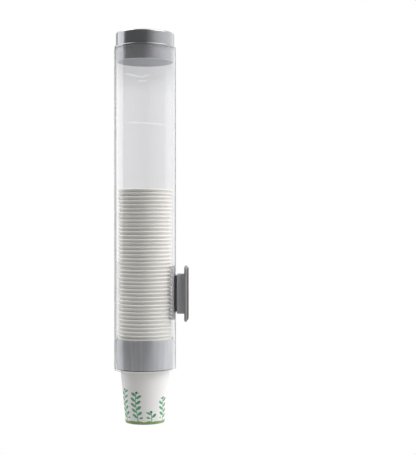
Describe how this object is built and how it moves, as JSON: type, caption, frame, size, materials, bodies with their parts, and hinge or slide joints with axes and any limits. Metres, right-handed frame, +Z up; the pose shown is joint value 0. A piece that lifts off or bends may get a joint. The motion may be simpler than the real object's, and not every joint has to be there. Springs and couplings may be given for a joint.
{
  "type": "paper cup dispenser",
  "caption": "Wall-mounted paper cup holder: a clear tube holds a nested stack of cups, a slotted retainer lets the lowest one go, and the tube hooks onto a wall bracket.",
  "frame": {"origin": "centre of the adhesive pad's back face, where the holder meets the wall", "axes": "+Y into the wall, +Z up along the tube, X across the wall"},
  "size_m": [0.084, 0.1011, 0.5272],
  "materials": {
    "clear_acrylic": "clear, glossy moulded acrylic",
    "grey_plastic": "satin-gloss moulded ABS",
    "bracket_plastic": "satin moulded ABS",
    "charcoal_plastic": "fine-textured moulded ABS",
    "pale_plastic": "pale moulded nylon",
    "retainer_plastic": "soft moulded polyethylene",
    "foam_pad": "double-sided foam tape",
    "screw_steel": "zinc-plated steel",
    "cup_paper": "coated white board"
  },
  "bodies": {
    "wall_bracket": {"wall_bracket": "bracket_plastic", "adhesive_pad": "foam_pad"},
    "canister": {"tube": "clear_acrylic", "collar": "grey_plastic", "cup_retainer": "retainer_plastic", "slide_rail": "charcoal_plastic", "backing_plate": "pale_plastic", "rail_screw_upper": "screw_steel", "rail_screw_lower": "screw_steel"},
    "lid": {"lid_plug": "grey_plastic", "lid_crown": "grey_plastic"},
    "front_cup": {"cup_01": "cup_paper"},
    "cup_stack": {"cup_02": "cup_paper", "cup_03": "cup_paper", "cup_04": "cup_paper", "cup_05": "cup_paper", "cup_06": "cup_paper", "cup_07": "cup_paper", "cup_08": "cup_paper", "cup_09": "cup_paper", "cup_10": "cup_paper", "cup_11": "cup_paper", "cup_12": "cup_paper", "cup_13": "cup_paper", "cup_14": "cup_paper", "cup_15": "cup_paper", "cup_16": "cup_paper", "cup_17": "cup_paper", "cup_18": "cup_paper", "cup_19": "cup_paper", "cup_20": "cup_paper", "cup_21": "cup_paper", "cup_22": "cup_paper", "cup_23": "cup_paper", "cup_24": "cup_paper", "cup_25": "cup_paper", "cup_26": "cup_paper", "cup_27": "cup_paper", "cup_28": "cup_paper", "cup_29": "cup_paper", "cup_30": "cup_paper", "cup_31": "cup_paper", "cup_32": "cup_paper", "cup_33": "cup_paper", "cup_34": "cup_paper", "cup_35": "cup_paper", "cup_36": "cup_paper", "cup_37": "cup_paper", "cup_38": "cup_paper", "cup_39": "cup_paper", "cup_40": "cup_paper", "cup_41": "cup_paper", "cup_42": "cup_paper", "cup_43": "cup_paper", "cup_44": "cup_paper", "cup_45": "cup_paper"}
  },
  "joints": [
    {"name": "canister_lift", "type": "slide", "parent": "wall_bracket", "child": "canister", "axis": [0, 0, 1], "range_m": [0, 0.055]},
    {"name": "lid_lift", "type": "slide", "parent": "canister", "child": "lid", "axis": [0, 0, 1], "range_m": [0, 0.04]},
    {"name": "front_cup_pull", "type": "slide", "parent": "canister", "child": "front_cup", "axis": [0, 0, -1], "range_m": [0, 0.1], "deforming": ["cup_retainer"]},
    {"name": "cup_stack_lift", "type": "slide", "parent": "canister", "child": "cup_stack", "axis": [0, 0, 1], "range_m": [0, 0.165]}
  ]
}
